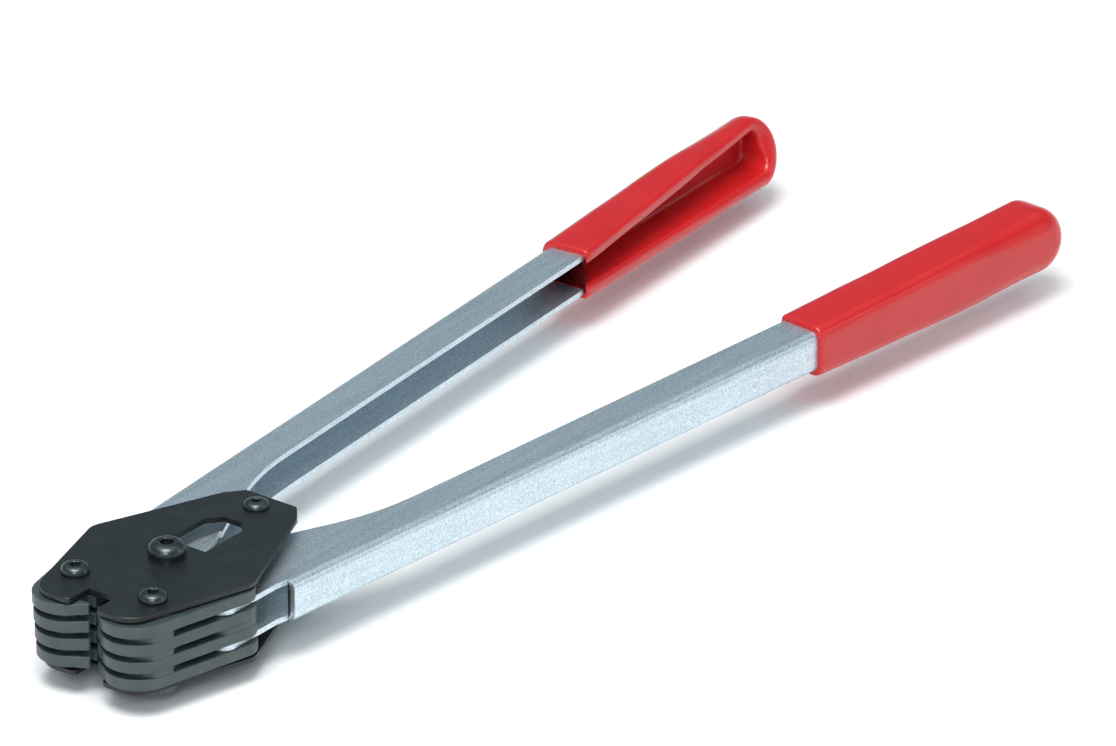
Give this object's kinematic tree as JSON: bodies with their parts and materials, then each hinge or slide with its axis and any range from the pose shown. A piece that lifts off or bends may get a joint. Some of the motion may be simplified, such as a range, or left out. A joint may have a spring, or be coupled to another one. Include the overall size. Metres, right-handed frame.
{
  "type": "hand strapping sealer",
  "caption": "Hand crimping sealer for plastic strapping: laminated steel jaws between cover plates, worked by two long channel handles with dipped grips.",
  "frame": {"origin": "middle of the seal mouth, between the jaw fingers, half way through the head's thickness", "axes": "+Y from the seal mouth back to the grips, +Z out of the screw-head side, +X to the right"},
  "size_m": [0.1544, 0.4931, 0.0458],
  "materials": {
    "black_oxide": "black oxide on steel, fine satin",
    "jaw_steel": "phosphated hardened steel, satin",
    "bright_steel": "ground steel",
    "blued_screw": "blued screw steel, semi-gloss",
    "zinc_plate": "zinc plated sheet, fine grain",
    "red_vinyl": "glossy dipped vinyl"
  },
  "bodies": {
    "head_frame": {"top_cover_plate": "black_oxide", "bottom_cover_plate": "black_oxide", "right_jaw_post": "blued_screw", "left_jaw_post": "blued_screw", "pivot_shims": "bright_steel", "right_pivot_screw": "blued_screw", "left_pivot_screw": "blued_screw", "rear_screw": "blued_screw", "rear_spacer_tube": "bright_steel", "rear_nut": "blued_screw"},
    "right_jaw": {"right_jaw_plate_1": "jaw_steel", "right_jaw_plate_2": "jaw_steel", "right_jaw_plate_3": "jaw_steel", "right_jaw_plate_4": "jaw_steel", "right_jaw_spacer_1": "jaw_steel", "right_jaw_spacer_2": "jaw_steel", "right_jaw_spacer_3": "jaw_steel", "right_jaw_rear_spacer": "jaw_steel", "right_link_pin": "bright_steel"},
    "left_jaw": {"left_jaw_plate_1": "jaw_steel", "left_jaw_plate_2": "jaw_steel", "left_jaw_plate_3": "jaw_steel", "left_jaw_plate_4": "jaw_steel", "left_jaw_spacer_1": "jaw_steel", "left_jaw_spacer_2": "jaw_steel", "left_jaw_spacer_3": "jaw_steel", "left_jaw_rear_spacer": "jaw_steel", "left_link_pin": "bright_steel"},
    "centre_slide": {"centre_bolt": "blued_screw", "centre_nut": "blued_screw", "centre_collars": "blued_screw", "centre_sleeve": "bright_steel", "top_slide_block": "black_oxide", "bottom_slide_block": "black_oxide"},
    "right_lever": {"right_handle": "zinc_plate", "right_grip": "red_vinyl"},
    "left_lever": {"left_handle": "zinc_plate", "left_grip": "red_vinyl"}
  },
  "joints": [
    {"name": "right_jaw_turn", "type": "hinge", "parent": "head_frame", "child": "right_jaw", "pos_m": [0.0177, 0.009, 0], "axis": [0, 0, 1], "range_deg": [0, 20.08]},
    {"name": "left_jaw_turn", "type": "hinge", "parent": "head_frame", "child": "left_jaw", "pos_m": [-0.0177, 0.009, 0], "axis": [0, 0, -1], "range_deg": [0, 20.08]},
    {"name": "centre_slide_travel", "type": "slide", "parent": "head_frame", "child": "centre_slide", "axis": [0, 1, 0], "range_m": [0, 0.02038]},
    {"name": "right_handle_swing", "type": "hinge", "parent": "centre_slide", "child": "right_lever", "pos_m": [0, 0.0384, 0], "axis": [0, 0, -1], "range_deg": [0, 40]},
    {"name": "left_handle_swing", "type": "hinge", "parent": "centre_slide", "child": "left_lever", "pos_m": [0, 0.0384, 0], "axis": [0, 0, 1], "range_deg": [0, 40]}
  ],
  "couplings": [
    {"joint": "left_handle_swing", "follows": "right_handle_swing", "ratio": 1},
    {"joint": "right_jaw_turn", "follows": "right_handle_swing", "ratio": 0.4944},
    {"joint": "left_jaw_turn", "follows": "right_handle_swing", "ratio": 0.4944},
    {"joint": "centre_slide_travel", "follows": "right_handle_swing", "m_per_rad": 0.029163}
  ]
}
